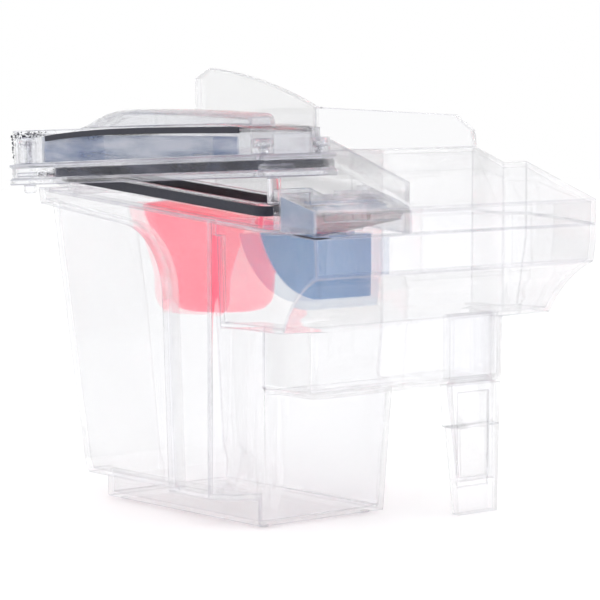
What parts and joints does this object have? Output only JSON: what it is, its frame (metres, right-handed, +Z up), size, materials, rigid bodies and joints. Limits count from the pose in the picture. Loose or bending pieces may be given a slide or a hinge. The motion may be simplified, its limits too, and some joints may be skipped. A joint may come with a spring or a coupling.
{
  "type": "hang on back filter",
  "caption": "Clear box that hangs on an aquarium rim, with a flat intake leg, outlet tray, hinged gasketed hatch, media cup and pump.",
  "frame": {"origin": "bottom centre of the bounding box, on the surface that the foot pads and the intake leg stand on", "axes": "+Z up; +X from outside the aquarium across its rim; +Y along the glass from the outlet end to the hinge end"},
  "size_m": [0.1934, 0.2608, 0.23],
  "materials": {
    "clear_plastic": "clear gloss moulding",
    "black_rubber": "satin",
    "red_plastic": "gloss, slightly translucent",
    "blue_plastic": "gloss, slightly translucent",
    "dark_plastic": "satin",
    "white_plastic": "satin",
    "steel": "polished"
  },
  "bodies": {
    "filter": {"tank": "clear_plastic", "foot_pads": "clear_plastic", "intake_leg": "clear_plastic", "intake_riser": "clear_plastic", "deck_cover": "clear_plastic", "splash_wall": "clear_plastic", "latch_housing": "clear_plastic", "latch_rails": "clear_plastic", "hatch_collar": "clear_plastic", "collar_gasket": "black_rubber", "media_cup": "red_plastic", "pump_housing": "blue_plastic", "pump_hanger": "blue_plastic", "motor_can": "dark_plastic", "rotor_shaft": "steel", "shaft_bearing": "dark_plastic", "power_gland": "dark_plastic", "hinge_bracket": "clear_plastic", "hinge_pin": "steel"},
    "hatch_lid": {"lid_frame": "clear_plastic", "lid_seal": "black_rubber", "lid_shell": "clear_plastic", "lid_top": "clear_plastic", "lid_gasket": "black_rubber", "screw_bosses": "clear_plastic", "lid_screws": "steel", "lid_pegs": "clear_plastic"},
    "catch": {"latch_slide": "clear_plastic"},
    "flow_control": {"flow_slider": "clear_plastic"},
    "rotor": {"rotor_magnet": "dark_plastic", "impeller": "white_plastic"}
  },
  "joints": [
    {"name": "lid_hinge", "type": "hinge", "parent": "filter", "child": "hatch_lid", "pos_m": [-0.07175, 0.10616, 0.1725], "axis": [-1, 0, 0], "range_deg": [-7.2, 62]},
    {"name": "catch_slide", "type": "slide", "parent": "filter", "child": "catch", "axis": [0, 1, 0], "range_m": [0, 0.006]},
    {"name": "flow_slide", "type": "slide", "parent": "filter", "child": "flow_control", "axis": [1, 0, 0], "range_m": [0, 0.02]},
    {"name": "rotor_spin", "type": "hinge", "parent": "filter", "child": "rotor", "pos_m": [-0.04825, -0.07784, 0.135], "axis": [1, 0, 0], "continuous": true}
  ]
}
